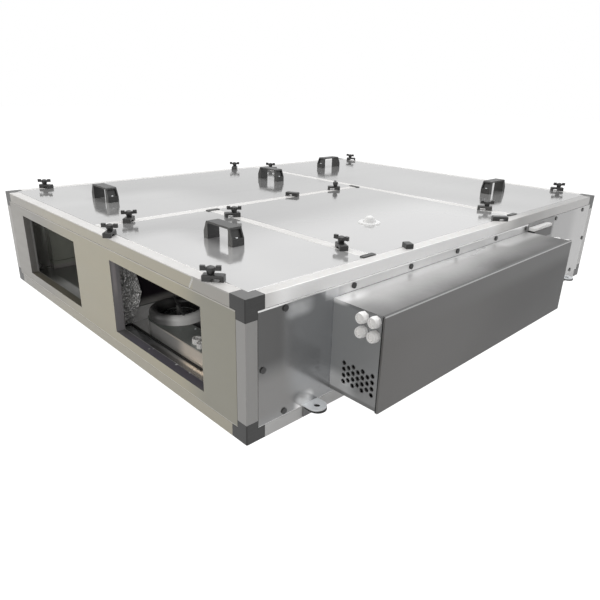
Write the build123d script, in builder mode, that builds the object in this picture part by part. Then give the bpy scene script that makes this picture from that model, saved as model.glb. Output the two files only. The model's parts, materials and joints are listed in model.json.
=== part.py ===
from build123d import *
import os
from math import asin, cos, radians, sin, sqrt

os.makedirs("parts", exist_ok=True)

# Low-profile air handling unit for a ceiling void, in millimetres.
# Origin: centre of the casing's underside. +Z up, +Y along the long side.
# The duct openings face -Y and +Y, the control box is on the +X side.

# Casing and its aluminium frame
casing_length = 1700.0
casing_width = 1340.0
casing_height = 320.0
profile = 30.0
profile_wall = 2.0
profile_edge_radius = 1.2
corner_leg = 48.0
corner_radius = 3.0
joint_gap = 0.3
seam = 0.5

# Panels
panel_thickness = 25.0
floor_thickness = 30.0
panel_edge_radius = 1.0
divider_x = -10.0
cross_divider_y = -459.0
rear_divider_y = 250.0

# Duct openings
opening_width = 410.0
opening_height = 200.0
opening_centre_x = 316.0

# Carrying handles on the access panels, placed from their panels' edges
handle_length = 120.0
handle_width = 36.0
handle_height = 46.0
handle_top_length = 96.0
handle_foot_height = 18.0
handle_foot_depth = 18.0
handle_strap = 5.0
handle_pocket_width = 28.0
handle_pocket_depth = 6.0
handle_pocket_rim = 1.0
handle_fillet = 4.0
front_handle_inset = 176.0
left_rear_handle_inset = 163.0
back_left_handle_insets = (181.0, 270.0)
back_right_handle_insets = (251.0, 240.0)

# Hand clamps that hold the access panels down, measured from the knob's axis
clamp_length = 46.0
clamp_width = 22.0
clamp_height = 13.0
clamp_axis_inset = 17.5
clamp_block_length = 20.0
clamp_arch_length = 18.0
clamp_arch_height = 6.0
clamp_fillet = 2.5
knob_foot_radius = 6.8
knob_hub_radius = 9.3
knob_neck_height = 8.0
knob_crown = 3.5
wing_length = 43.0
wing_width = 8.0
wing_height = 6.3
wing_end_length = 10.7
wing_end_height = 9.8
wing_fillet = 1.5
# Each knob's distance along its rail from the nearest panel corner, in the order of clamp_places
clamp_insets = (100.0, 95.0, 97.0, 98.0, 116.0, 92.0, 117.0, 105.0, 98.0, 96.0, 68.0, 105.0)

# Low clips without a knob: two bars like the clamps, and a plain block
clip_inset_x = 27.0
divider_clip_inset_y = 347.0
rail_clip_inset_y = 97.0
block_length = 28.0
block_width = 20.0
block_height = 12.0
block_inset_x = 21.0
block_inset_y = 118.0

# Flat black inserts where the dividers meet
insert_length = 44.0
insert_width = 14.0
insert_height = 2.5
insert_offset = 22.0

# Service port on the middle access panel, placed from the panel's edges
port_inset_x = 220.0
port_inset_y = 247.0
port_flange_radius = 33.0
port_flange_height = 3.0
port_dome_radius = 15.0
port_dome_height = 21.0
port_collar_radius = 19.0
port_collar_height = 9.0
port_bevel = 2.0

# Control box on the +X side
box_front_y = -612.0
box_length = 912.0
box_depth = 141.0
box_bottom_z = 42.0
box_height = 224.0
box_wall = 1.5
cover_lip = 7.0
cover_clearance = 0.3
box_standoff = 0.3

# Vent holes in the control box's front end
vent_hole_radius = 4.4
vent_pitch = 15.3
vent_columns = 7
vent_centre_out = 80.0
vent_centre_z = 101.0

# Cable glands on the control box
gland_radius = 13.0
gland_neck_radius = 8.0
gland_length = 16.0
gland_pitch = 32.0
gland_centre_out = 103.0
gland_centre_z = 233.0
gland_flat_count = 8
gland_taper = 12.0
back_gland_length = 38.0

# Wiring connector on the side panel behind the control box
connector_gap = 4.0
connector_length = 132.0
connector_depth = 22.0
connector_drop = 82.0
connector_height = 30.0
connector_fillet = 2.0
strip_depth = 20.0
strip_height = 9.0
strip_rib_count = 11
strip_rib_width = 4.0
strip_rib_depth = 2.5

# Round caps over the screws of the side panels
cap_radius = 7.0
cap_height = 2.5
cap_edge_inset = 12.0
cap_end_y = 100.0
cap_front_step = 204.0
cap_back_step = 236.0
cap_inner_count = 6

# Hanging lugs
lug_width = 46.0
lug_reach = 43.0
lug_thickness = 3.0
lug_top_z = 34.0
lug_foot_z = 4.0
lug_hole_radius = 7.25
lug_hole_reach = 22.0
lug_inset_y = 178.0
pad_thickness = 5.0
pad_overhang = 1.5

# Inner walls
partition_thickness = 20.0
partition_x = 10.0
exchanger_length = 640.0
foil_thickness = 8.0
foil_length = 130.0
foil_top_gap = 10.0
gasket_height = 3.0
gasket_width = 6.0
gasket_length = 364.0
gasket_leg_length = 20.0

# Fan: flat scroll housing with an upright axis and a rolled inlet ring on top
fan_x = 147.0
fan_inset_y = 171.0
scroll_radius = 75.0
scroll_growth = 4.0
scroll_height = 45.0
scroll_wall = 2.0
scroll_outlet_length = 313.0
scroll_outlet_width = 76.0
mouth_radius = 56.0
mouth_roll_radius = 13.0
impeller_radius = 66.0
impeller_height = 30.0
impeller_bottom_gap = 7.0
impeller_plate = 2.5
impeller_ring_width = 6.0
blade_count = 24
blade_depth = 14.0
blade_thickness = 1.2
blade_turn = 35.0
motor_radius = 34.0
motor_height = 18.0
motor_gap = 5.0
motor_post_radius = 7.0
shaft_radius = 5.0
shaft_clearance = 0.05
boss_radius = 12.0
boss_height = 12.0
bar_width = 6.0
bar_thickness = 2.5
bar_turn = -21.5
# Round bushings on the deck: from the fan's axis along the outlet, from its front wall, radius, height
bushings = [(188.0, 23.0, 12.5, 14.0), (215.0, 14.0, 9.0, 13.0)]
bushing_wall = 4.0

# Values that follow from the ones above
half_x = casing_width / 2
half_y = casing_length / 2
half = profile / 2
rail_centre_x = half_x - half
rail_centre_y = half_y - half
inner_x = half_x - profile
inner_y = half_y - profile
panel_top_z = casing_height - panel_thickness
opening_centre_z = casing_height / 2
bore = profile - 2 * profile_wall
left_panel_x = (divider_x - half - inner_x) / 2
fan_panel_x = (divider_x + half + inner_x) / 2
connector_low_z = casing_height - connector_drop
port_x = inner_x - port_inset_x
port_y = cross_divider_y + half + port_inset_y

# centre x, centre y, turn in degrees
handle_places = [
    (fan_panel_x, -inner_y + front_handle_inset, 0.0),
    (left_panel_x, -inner_y + front_handle_inset, 0.0),
    (left_panel_x, rear_divider_y - half - left_rear_handle_inset, 0.0),
    (-inner_x + back_left_handle_insets[0], inner_y - back_left_handle_insets[1], 90.0),
    (inner_x - back_right_handle_insets[0], inner_y - back_right_handle_insets[1], 90.0),
]

# knob's x and y, turn of the claw, turn of the wing
clamp_places = [
    (-rail_centre_x, -inner_y + clamp_insets[0], 31.0, 54.0),
    (divider_x, -inner_y + clamp_insets[1], 316.0, 68.0),
    (divider_x + half + clamp_insets[2], -rail_centre_y, 316.0, 40.0),
    (inner_x - clamp_insets[3], -rail_centre_y, 40.0, 46.0),
    (divider_x + half + clamp_insets[4], cross_divider_y, 245.0, 50.0),
    (inner_x - clamp_insets[5], cross_divider_y, 328.0, 5.0),
    (divider_x, rear_divider_y - half - clamp_insets[6], 226.0, 136.0),
    (-rail_centre_x, rear_divider_y - half - clamp_insets[7], 316.0, 50.0),
    (-inner_x + clamp_insets[8], rear_divider_y, 36.0, 29.0),
    (inner_x - clamp_insets[9], rear_divider_y, 207.0, 42.0),
    (-inner_x + clamp_insets[10], rail_centre_y, 42.0, 10.0),
    (inner_x - clamp_insets[11], rail_centre_y, 214.0, 40.0),
]

# x, y and turn of the low clips, on the same rails
clip_places = [
    (divider_x, cross_divider_y + half + divider_clip_inset_y, 205.0),
    (half_x - clip_inset_x, rear_divider_y - half - rail_clip_inset_y, 43.0),
]
block_place = (half_x - block_inset_x, cross_divider_y + half + block_inset_y, 150.0)


def save(piece, name):
    piece.part.label = name
    export_step(piece.part, f"parts/{name}.step")


def profile_section(places):
    """Hollow square profile at each of the places of a sketch."""
    with Locations(*places):
        RectangleRounded(profile, profile, profile_edge_radius)
    with Locations(*places):
        Rectangle(bore, bore, mode=Mode.SUBTRACT)


# Upright posts of the frame
with BuildPart() as corner_posts:
    with BuildSketch(Plane.XY.offset(corner_leg)):
        profile_section([(sx * rail_centre_x, sy * rail_centre_y) for sx in (-1, 1) for sy in (-1, 1)])
    extrude(amount=casing_height - 2 * corner_leg)
save(corner_posts, "corner_posts")


def rails(centre_z):
    """Four rails of one level, between the legs of the corner pieces."""
    with BuildPart() as ring:
        with BuildSketch(Plane.YZ.offset(-(half_x - corner_leg))):
            profile_section([(-rail_centre_y, centre_z), (rail_centre_y, centre_z)])
        extrude(amount=casing_width - 2 * corner_leg)
        with BuildSketch(Plane.XZ.offset(-(half_y - corner_leg))):
            profile_section([(-rail_centre_x, centre_z), (rail_centre_x, centre_z)])
        extrude(amount=casing_length - 2 * corner_leg)
    return ring


save(rails(profile / 2), "bottom_rails")
save(rails(casing_height - profile / 2), "top_rails")

# Black three-legged corner pieces, made once and mirrored
with BuildPart() as corner_pieces:
    with Locations((half_x, half_y, casing_height)):
        Box(corner_leg, profile, profile, align=(Align.MAX, Align.MAX, Align.MAX))
        Box(profile, corner_leg, profile, align=(Align.MAX, Align.MAX, Align.MAX))
        Box(profile, profile, corner_leg, align=(Align.MAX, Align.MAX, Align.MAX))
    upright_edges = corner_pieces.edges().filter_by(Axis.Z)
    fillet(upright_edges.sort_by(Axis((0, 0, 0), (1, 1, 0)))[-1], corner_radius)
    outer_faces = corner_pieces.faces().sort_by(Axis.Z)[-1]
    fillet(outer_faces.edges().sort_by(Axis((0, 0, 0), (1, 1, 0)))[-3:], corner_radius / 2)
    mirror(about=Plane.XZ)
    mirror(about=Plane.YZ)
    mirror(about=Plane.XY.offset(casing_height / 2))
save(corner_pieces, "corner_pieces")

# Dividers between the access panels
with BuildPart() as top_dividers:
    divider_z = casing_height - profile / 2
    with BuildSketch(Plane.XZ.offset(inner_y - joint_gap)):
        profile_section([(divider_x, divider_z)])
    extrude(amount=-(inner_y + rear_divider_y - profile / 2 - 2 * joint_gap))
    with BuildSketch(Plane.YZ.offset(divider_x + profile / 2 + joint_gap)):
        profile_section([(cross_divider_y, divider_z)])
    extrude(amount=inner_x - divider_x - profile / 2 - 2 * joint_gap)
    with BuildSketch(Plane.YZ.offset(-(inner_x - joint_gap))):
        profile_section([(rear_divider_y, divider_z)])
    extrude(amount=2 * (inner_x - joint_gap))
save(top_dividers, "top_dividers")


def wall_panel(plane, width, height, openings=()):
    """Upright panel whose outer face lies on the plane, with rounded sheet edges."""
    with BuildPart() as panel:
        with BuildSketch(plane):
            with Locations((0, casing_height / 2)):
                Rectangle(width - 2 * seam, height - 2 * seam)
            if openings:
                with Locations(*openings):
                    Rectangle(opening_width, opening_height, mode=Mode.SUBTRACT)
        extrude(amount=-panel_thickness)
        outer_face = panel.faces().sort_by(Axis(plane.origin, plane.z_dir))[-1]
        fillet(outer_face.outer_wire().edges(), panel_edge_radius)
    return panel


panel_height = casing_height - 2 * profile
duct_openings = [(-opening_centre_x, opening_centre_z), (opening_centre_x, opening_centre_z)]
front_plane = Plane.XZ.offset(half_y)
back_plane = Plane(origin=(0, half_y, 0), x_dir=(-1, 0, 0), z_dir=(0, 1, 0))
right_plane = Plane.YZ.offset(half_x)
left_plane = Plane(origin=(-half_x, 0, 0), x_dir=(0, -1, 0), z_dir=(-1, 0, 0))
save(wall_panel(front_plane, 2 * inner_x, panel_height, duct_openings), "front_panel")
save(wall_panel(back_plane, 2 * inner_x, panel_height, duct_openings), "back_panel")
save(wall_panel(right_plane, 2 * inner_y, panel_height), "right_panel")
save(wall_panel(left_plane, 2 * inner_y, panel_height), "left_panel")

with BuildPart() as bottom_panel:
    with BuildSketch():
        Rectangle(2 * (inner_x - seam), 2 * (inner_y - seam))
    extrude(amount=floor_thickness)
save(bottom_panel, "bottom_panel")


def access_panel(x_low, x_high, y_low, y_high):
    """Lift-off panel between rails and dividers, flush with their tops."""
    with BuildPart() as panel:
        with BuildSketch(Plane.XY.offset(panel_top_z)):
            with Locations(((x_low + x_high) / 2, (y_low + y_high) / 2)):
                Rectangle(x_high - x_low - 2 * seam, y_high - y_low - 2 * seam)
        extrude(amount=panel_thickness)
        fillet(panel.faces().sort_by(Axis.Z)[-1].edges(), panel_edge_radius)
    return panel


save(access_panel(-inner_x, divider_x - half, -inner_y, rear_divider_y - half), "access_panel_left")
save(access_panel(divider_x + half, inner_x, -inner_y, cross_divider_y - half), "access_panel_fan")
save(access_panel(divider_x + half, inner_x, cross_divider_y + half, rear_divider_y - half), "access_panel_middle")
save(access_panel(-inner_x, inner_x, rear_divider_y + half, inner_y), "access_panel_back")


def lift_handle(x, y, turn):
    """Bow handle with sloping legs and a screw pocket in each leg."""
    along = (cos(radians(turn)), sin(radians(turn)), 0)
    across = (sin(radians(turn)), -cos(radians(turn)), 0)
    plane = Plane(origin=(x, y, casing_height), x_dir=along, z_dir=across)
    foot = handle_length / 2
    top = handle_top_length / 2
    inner_foot = foot - handle_foot_depth
    inner_top = top - handle_strap
    slope = (foot - top) / (handle_height - handle_foot_height)
    pocket_low = handle_foot_height + handle_pocket_rim
    pocket_high = handle_height - handle_strap - handle_pocket_rim
    with BuildPart() as handle:
        with BuildSketch(plane):
            with BuildLine():
                Polyline(
                    (-foot, 0), (-foot, handle_foot_height), (-top, handle_height), (top, handle_height),
                    (foot, handle_foot_height), (foot, 0), (inner_foot, 0),
                    (inner_top, handle_height - handle_strap), (-inner_top, handle_height - handle_strap),
                    (-inner_foot, 0), close=True,
                )
            make_face()
            bow_corners = vertices().group_by(Axis.Y)
            fillet(bow_corners[-1] + bow_corners[-2], handle_fillet)
        extrude(amount=handle_width / 2, both=True)
        for side in (-1, 1):
            with BuildSketch(plane):
                with BuildLine():
                    depth = handle_pocket_depth
                    low_x = foot - (pocket_low - handle_foot_height) * slope
                    high_x = foot - (pocket_high - handle_foot_height) * slope
                    Polyline(
                        (side * (low_x + depth), pocket_low), (side * (low_x - depth), pocket_low),
                        (side * (high_x - depth), pocket_high), (side * (high_x + depth), pocket_high),
                        close=True,
                    )
                make_face()
            extrude(amount=handle_pocket_width / 2, both=True, mode=Mode.SUBTRACT)
    return handle


for number, (x, y, turn) in enumerate(handle_places, start=1):
    save(lift_handle(x, y, turn), f"lift_handle_{number}")


def ball_cap(radius, foot_z, top_z):
    """Arc of a ball from the rim of a round cap up to the axis, in a half section."""
    rise = top_z - foot_z
    ball = (radius**2 + rise**2) / (2 * rise)
    half_angle = asin(radius / ball) / 2
    middle = (ball * sin(half_angle), top_z - ball + ball * cos(half_angle))
    ThreePointArc((radius, foot_z), middle, (0, top_z))


# Clamp base: a bar with a solid block under the knob, an arch and a claw at the far end
with BuildPart() as clamp_base:
    with BuildSketch():
        with Locations((clamp_length / 2 - clamp_axis_inset, 0)):
            RectangleRounded(clamp_length, clamp_width, clamp_fillet)
    extrude(amount=clamp_height)
    fillet(clamp_base.faces().sort_by(Axis.Z)[-1].edges(), clamp_fillet)
    with BuildSketch(Plane.XZ):
        with Locations((clamp_block_length - clamp_axis_inset + clamp_arch_length / 2, 0)):
            RectangleRounded(clamp_arch_length, 2 * clamp_arch_height, clamp_fillet)
    extrude(amount=clamp_width / 2, both=True, mode=Mode.SUBTRACT)
with BuildPart() as panel_clamps:
    with Locations(*[Location((x, y, casing_height), (0, 0, claw)) for x, y, claw, wing in clamp_places]):
        add(clamp_base.part)
save(panel_clamps, "panel_clamps")

# Wing knob: a flared neck and hub under a low crown, two wings with thicker ends
wing_z = knob_neck_height
with BuildPart() as wing_knob:
    with BuildSketch(Plane.XZ):
        with BuildLine():
            Polyline(
                (0, 0), (knob_foot_radius, 0), (knob_hub_radius, wing_z), (knob_hub_radius, wing_z + wing_height),
            )
            ball_cap(knob_hub_radius, wing_z + wing_height, wing_z + wing_height + knob_crown)
            Line((0, wing_z + wing_height + knob_crown), (0, 0))
        make_face()
    revolve(axis=Axis.Z)
    with BuildSketch(Plane.XY.offset(wing_z)):
        RectangleRounded(wing_length, wing_width, wing_fillet)
    extrude(amount=wing_height)
    with BuildSketch(Plane.XY.offset(wing_z)):
        with Locations(*[(side * (wing_length - wing_end_length) / 2, 0) for side in (-1, 1)]):
            RectangleRounded(wing_end_length, wing_width, wing_fillet)
    extrude(amount=wing_end_height)
knob_z = casing_height + clamp_height
with BuildPart() as clamp_knobs:
    with Locations(*[Location((x, y, knob_z), (0, 0, wing)) for x, y, claw, wing in clamp_places]):
        add(wing_knob.part)
save(clamp_knobs, "clamp_knobs")

with BuildPart() as edge_clips:
    with BuildSketch(Plane.XY.offset(casing_height)):
        with Locations(Location((block_place[0], block_place[1]), block_place[2])):
            RectangleRounded(block_length, block_width, clamp_fillet)
    extrude(amount=block_height)
    fillet(edge_clips.faces().sort_by(Axis.Z)[-1].edges(), clamp_fillet)
    with Locations(*[Location((x, y, casing_height), (0, 0, turn)) for x, y, turn in clip_places]):
        add(clamp_base.part)
save(edge_clips, "edge_clips")

with BuildPart() as divider_inserts:
    with BuildSketch(Plane.XY.offset(casing_height)):
        beside_rail_x = inner_x - insert_width / 2
        with Locations(
            (divider_x + insert_offset, cross_divider_y), (beside_rail_x, cross_divider_y), (beside_rail_x, rear_divider_y),
        ):
            RectangleRounded(insert_width, insert_length, clamp_fillet)
        with Locations((divider_x, rear_divider_y - insert_offset)):
            RectangleRounded(insert_length, insert_width, clamp_fillet)
    extrude(amount=insert_height)
save(divider_inserts, "divider_inserts")

# Service port: flat flange, collar and dome turned in one profile
with BuildPart() as service_port:
    with BuildSketch(Plane.XZ):
        with BuildLine():
            Polyline(
                (0, 0), (port_flange_radius, 0), (port_flange_radius, port_flange_height - port_bevel),
                (port_flange_radius - port_bevel, port_flange_height), (port_collar_radius, port_flange_height),
                (port_collar_radius - port_bevel, port_collar_height), (port_dome_radius, port_collar_height),
            )
            ball_cap(port_dome_radius, port_collar_height, port_dome_height)
            Line((0, port_dome_height), (0, 0))
        make_face()
    revolve(axis=Axis.Z)
with BuildPart() as service_port_placed:
    with Locations((port_x, port_y, casing_height)):
        add(service_port.part)
save(service_port_placed, "service_port")

# Control box: folded sheet body with an open outer side and a lipped cover
box_inner_x = half_x + box_standoff
box_outer_x = half_x + box_depth
box_centre_y = box_front_y + box_length / 2
box_centre_z = box_bottom_z + box_height / 2
body_length = box_length - 2 * (box_wall + cover_clearance)
body_height = box_height - 2 * (box_wall + cover_clearance)
body_depth = box_outer_x - box_wall - cover_clearance - box_inner_x
body_front_y = box_front_y + box_wall + cover_clearance
front_end_plane = Plane(origin=(half_x, body_front_y, 0), x_dir=(1, 0, 0), z_dir=(0, -1, 0))
gland_centres = [
    (gland_centre_out + dx * gland_pitch / 2, gland_centre_z + dz * gland_pitch / 2)
    for dx in (-1, 1)
    for dz in (-1, 1)
]
with BuildPart() as control_box:
    with Locations((box_inner_x, box_centre_y, box_centre_z)):
        Box(body_depth, body_length, body_height, align=(Align.MIN, Align.CENTER, Align.CENTER))
    open_side = control_box.faces().sort_by(Axis.X)[-1]
    offset(amount=-box_wall, openings=open_side)
    with BuildSketch(front_end_plane):
        for column in range(vent_columns):
            holes = 4 if column % 2 == 0 else 3
            out = vent_centre_out + (column - (vent_columns - 1) / 2) * vent_pitch * sqrt(3) / 2
            for row in range(holes):
                with Locations((out, vent_centre_z + (row - (holes - 1) / 2) * vent_pitch)):
                    Circle(vent_hole_radius)
    extrude(amount=-2 * box_wall, mode=Mode.SUBTRACT)
save(control_box, "control_box")

with BuildPart() as control_box_cover:
    with Locations((box_outer_x, box_centre_y, box_centre_z)):
        Box(cover_lip, box_length, box_height, align=(Align.MAX, Align.CENTER, Align.CENTER))
    lip_side = control_box_cover.faces().sort_by(Axis.X)[0]
    offset(amount=-box_wall, openings=lip_side)
save(control_box_cover, "control_box_cover")


def gland_row(plane, centres, length):
    """Cable glands: nut with flats, tapered collar and a recess for the cable."""
    with BuildPart() as glands:
        with BuildSketch(plane.offset(joint_gap)):
            with Locations(*centres):
                RegularPolygon(gland_radius, gland_flat_count)
        extrude(amount=length / 2)
        with BuildSketch(plane.offset(joint_gap + length / 2)):
            with Locations(*centres):
                Circle(gland_radius)
        extrude(amount=length / 2, taper=gland_taper)
        with BuildSketch(plane.offset(joint_gap + length)):
            with Locations(*centres):
                Circle(gland_neck_radius)
        extrude(amount=-length / 3, mode=Mode.SUBTRACT)
    return glands


back_end_plane = Plane(origin=(half_x, body_front_y + body_length, 0), x_dir=(-1, 0, 0), z_dir=(0, 1, 0))
front_glands = gland_row(front_end_plane, gland_centres, gland_length)
back_glands = gland_row(back_end_plane, [(-out, z) for out, z in gland_centres], back_gland_length)
with BuildPart() as cable_glands:
    add(front_glands.part)
    add(back_glands.part)
save(cable_glands, "cable_glands")

# Wiring connector on the side panel: black block under a pale ribbed strip
connector_x = half_x + joint_gap
connector_y = box_front_y + box_length + connector_gap
with BuildPart() as connector_block:
    with Locations((connector_x, connector_y, connector_low_z)):
        Box(connector_depth, connector_length, connector_height, align=Align.MIN)
    fillet(connector_block.faces().sort_by(Axis.X)[-1].edges(), connector_fillet)
save(connector_block, "connector_block")

strip_z = connector_low_z + connector_height
with BuildPart() as connector_strip:
    with Locations((connector_x, connector_y, strip_z)):
        Box(strip_depth, connector_length, strip_height, align=Align.MIN)
    with BuildSketch(Plane.XY.offset(strip_z)):
        rib_x = connector_x + strip_depth
        for rib in range(strip_rib_count):
            with Locations((rib_x, connector_y + (rib + 0.5) * connector_length / strip_rib_count)):
                Rectangle(2 * strip_rib_depth, strip_rib_width)
    extrude(amount=strip_height, mode=Mode.SUBTRACT)
save(connector_strip, "connector_strip")

# Round caps on both side panels: two rows and one at each end's middle
first_inner_y = -half_y + cap_end_y + cap_front_step
last_inner_y = half_y - cap_end_y - cap_back_step
cap_step = (last_inner_y - first_inner_y) / (cap_inner_count - 1)
cap_row = [-half_y + cap_end_y, half_y - cap_end_y] + [first_inner_y + i * cap_step for i in range(cap_inner_count)]
row_low_z = profile + cap_edge_inset
row_high_z = casing_height - row_low_z
end_y = half_y - profile - cap_edge_inset
cap_places = [(y, z) for y in cap_row for z in (row_low_z, row_high_z)]
cap_places += [(-end_y, casing_height / 2), (end_y, casing_height / 2)]
behind_box = [
    (y, z) for y, z in cap_places
    if box_front_y < y + cap_radius and y - cap_radius < box_front_y + box_length and z < box_bottom_z + box_height
    or connector_y < y + cap_radius and y - cap_radius < connector_y + connector_length and z > connector_low_z
]
right_caps = [place for place in cap_places if place not in behind_box]
with BuildPart() as side_panel_caps:
    with BuildSketch(right_plane):
        with Locations(*right_caps):
            Circle(cap_radius)
    extrude(amount=cap_height)
    with BuildSketch(left_plane):
        with Locations(*[(-y, z) for y, z in cap_places]):
            Circle(cap_radius)
    extrude(amount=cap_height)
    fillet(side_panel_caps.faces().sort_by(Axis.X)[-1].edges(), cap_height / 3)
save(side_panel_caps, "side_panel_caps")


def lug_outline(reach, width):
    """Tongue from the wall with a round end, on a level plane at the +X side."""
    Rectangle(reach - width / 2, width, align=(Align.MIN, Align.CENTER))
    with Locations((reach - width / 2, 0)):
        Circle(width / 2)
    Rectangle(width, width, align=(Align.MAX, Align.CENTER), mode=Mode.SUBTRACT)


lug_wall_x = half_x + joint_gap
with BuildPart() as hanging_lugs:
    for y in (-half_y + lug_inset_y, half_y - lug_inset_y):
        with BuildSketch(Plane(origin=(lug_wall_x, y, lug_top_z - lug_thickness), z_dir=(0, 0, 1))):
            lug_outline(lug_reach, lug_width)
            with Locations((lug_hole_reach, 0)):
                Circle(lug_hole_radius, mode=Mode.SUBTRACT)
        extrude(amount=lug_thickness)
        with Locations((lug_wall_x, y, lug_foot_z)):
            Box(lug_thickness, lug_width, lug_top_z - lug_foot_z, align=(Align.MIN, Align.CENTER, Align.MIN))
    mirror(about=Plane.YZ)
save(hanging_lugs, "hanging_lugs")

with BuildPart() as lug_pads:
    for y in (-half_y + lug_inset_y, half_y - lug_inset_y):
        pad_x = lug_wall_x + lug_thickness + joint_gap
        with BuildSketch(Plane(origin=(pad_x, y, lug_top_z - lug_thickness), z_dir=(0, 0, 1))):
            lug_outline(lug_reach - lug_thickness - joint_gap + pad_overhang, lug_width - 2 * pad_overhang)
            with Locations((lug_hole_reach - lug_thickness - joint_gap, 0)):
                Circle(lug_hole_radius, mode=Mode.SUBTRACT)
        extrude(amount=-pad_thickness)
    mirror(about=Plane.YZ)
save(lug_pads, "lug_pads")


def turned(piece):
    """The same piece in the other end chamber."""
    with BuildPart() as other:
        add(piece.part.rotate(Axis.Z, 180))
    return other


# Inner walls: heat exchanger casing across the middle, a partition in each end chamber
floor_z = floor_thickness
ceiling_z = panel_top_z
inner_wall_x = half_x - panel_thickness
exchanger_low_y = -exchanger_length / 2
with BuildPart() as exchanger_casing:
    with BuildSketch(Plane.XY.offset(floor_z)):
        Rectangle(2 * (inner_wall_x - joint_gap), exchanger_length)
    extrude(amount=casing_height - profile - floor_z - joint_gap)
save(exchanger_casing, "exchanger_casing")

end_y_inner = half_y - panel_thickness
partition_length = end_y_inner - exchanger_length / 2 - 2 * joint_gap
partition_height = casing_height - profile - floor_z - joint_gap
with BuildPart() as partition_front:
    with Locations((partition_x, -exchanger_length / 2 - joint_gap, floor_z)):
        Box(partition_thickness, partition_length, partition_height, align=(Align.CENTER, Align.MAX, Align.MIN))
save(partition_front, "partition_front")
save(turned(partition_front), "partition_back")

foil_x = partition_x + partition_thickness / 2 + joint_gap
with BuildPart() as foil_lining:
    with Locations((foil_x, -end_y_inner + joint_gap, floor_z)):
        Box(foil_thickness, foil_length, partition_height - foil_top_gap, align=Align.MIN)
save(foil_lining, "foil_lining_front")
save(turned(foil_lining), "foil_lining_back")

# Fan in the front chamber, and its twin in the back one
fan_y = -half_y + fan_inset_y
deck_z = floor_z + scroll_height
scroll_front_y = fan_y - scroll_radius - 3 * scroll_growth


def scroll_plan(inset):
    """Outline of the scroll: three quarter rounds that grow, and a straight outlet towards +X."""
    front_y = scroll_front_y + inset
    back_y = scroll_front_y + scroll_outlet_width - inset
    outlet_x = fan_x + scroll_outlet_length + inset
    radius = scroll_radius - inset
    tongue_x = fan_x + radius
    second_y = fan_y - scroll_growth
    third_x = fan_x + scroll_growth
    with BuildLine() as outline:
        CenterArc((fan_x, fan_y), radius, 0, 90)
        CenterArc((fan_x, second_y), radius + scroll_growth, 90, 90)
        CenterArc((third_x, second_y), radius + 2 * scroll_growth, 180, 90)
        Polyline(
            (third_x, front_y), (outlet_x, front_y), (outlet_x, back_y), (tongue_x, back_y), (tongue_x, fan_y),
        )
    make_face(outline.edges())


with BuildPart() as fan_scroll:
    with BuildSketch(Plane.XY.offset(floor_z)):
        scroll_plan(0)
    extrude(amount=scroll_height)
    with BuildSketch(Plane.XY.offset(floor_z + scroll_wall)):
        scroll_plan(scroll_wall)
    extrude(amount=scroll_height - 2 * scroll_wall, mode=Mode.SUBTRACT)
    with Locations((fan_x, fan_y, deck_z)):
        Cylinder(mouth_radius, 4 * scroll_wall, mode=Mode.SUBTRACT)
save(fan_scroll, "fan_scroll_front")
save(turned(fan_scroll), "fan_scroll_back")

# Inlet ring: a round roll on the deck, turned about the fan's axis
mouth_foot_radius = mouth_radius + 2 * mouth_roll_radius
with BuildPart() as inlet_ring:
    with BuildSketch(Plane(origin=(fan_x, fan_y, deck_z), x_dir=(1, 0, 0), z_dir=(0, -1, 0))):
        with BuildLine():
            Line((mouth_foot_radius, 0), (mouth_foot_radius, mouth_roll_radius))
            CenterArc((mouth_radius + mouth_roll_radius, mouth_roll_radius), mouth_roll_radius, 0, 180)
            Polyline((mouth_radius, mouth_roll_radius), (mouth_radius, 0), (mouth_foot_radius, 0))
        make_face()
    revolve(axis=Axis((fan_x, fan_y, 0), (0, 0, 1)))
save(inlet_ring, "inlet_ring_front")
save(turned(inlet_ring), "inlet_ring_back")

# Motor inside the impeller, on a post under a flat bar that lies across the inlet ring
impeller_z = floor_z + impeller_bottom_gap
motor_z = impeller_z + boss_height + motor_gap
bar_z = deck_z + 2 * mouth_roll_radius
bar_length = 2 * (mouth_radius + 1.5 * mouth_roll_radius)
with BuildPart() as motor_bracket:
    with BuildSketch(Plane.XY.offset(bar_z)):
        with Locations(Location((fan_x, fan_y), bar_turn)):
            SlotOverall(bar_length, bar_width)
    extrude(amount=bar_thickness)
    with BuildSketch(Plane.XY.offset(motor_z)):
        with Locations((fan_x, fan_y)):
            Circle(motor_post_radius)
    extrude(amount=bar_z + bar_thickness - motor_z)
    with BuildSketch(Plane.XY.offset(motor_z)):
        with Locations((fan_x, fan_y)):
            Circle(motor_radius)
    extrude(amount=motor_height)
    with BuildSketch(Plane.XY.offset(impeller_z)):
        with Locations((fan_x, fan_y)):
            Circle(shaft_radius)
    extrude(amount=motor_z - impeller_z)
save(motor_bracket, "motor_bracket_front")
save(turned(motor_bracket), "motor_bracket_back")

with BuildPart() as deck_bushings:
    for along, inset, radius, height in bushings:
        with BuildSketch(Plane.XY.offset(deck_z)):
            with Locations((fan_x + along, scroll_front_y + inset)):
                Circle(radius)
        extrude(amount=height)
        with BuildSketch(Plane.XY.offset(deck_z + height)):
            with Locations((fan_x + along, scroll_front_y + inset)):
                Circle(radius - bushing_wall)
        extrude(amount=-height / 2, mode=Mode.SUBTRACT)
    add(deck_bushings.part.rotate(Axis.Z, 180))
save(deck_bushings, "deck_bushings")

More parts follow.
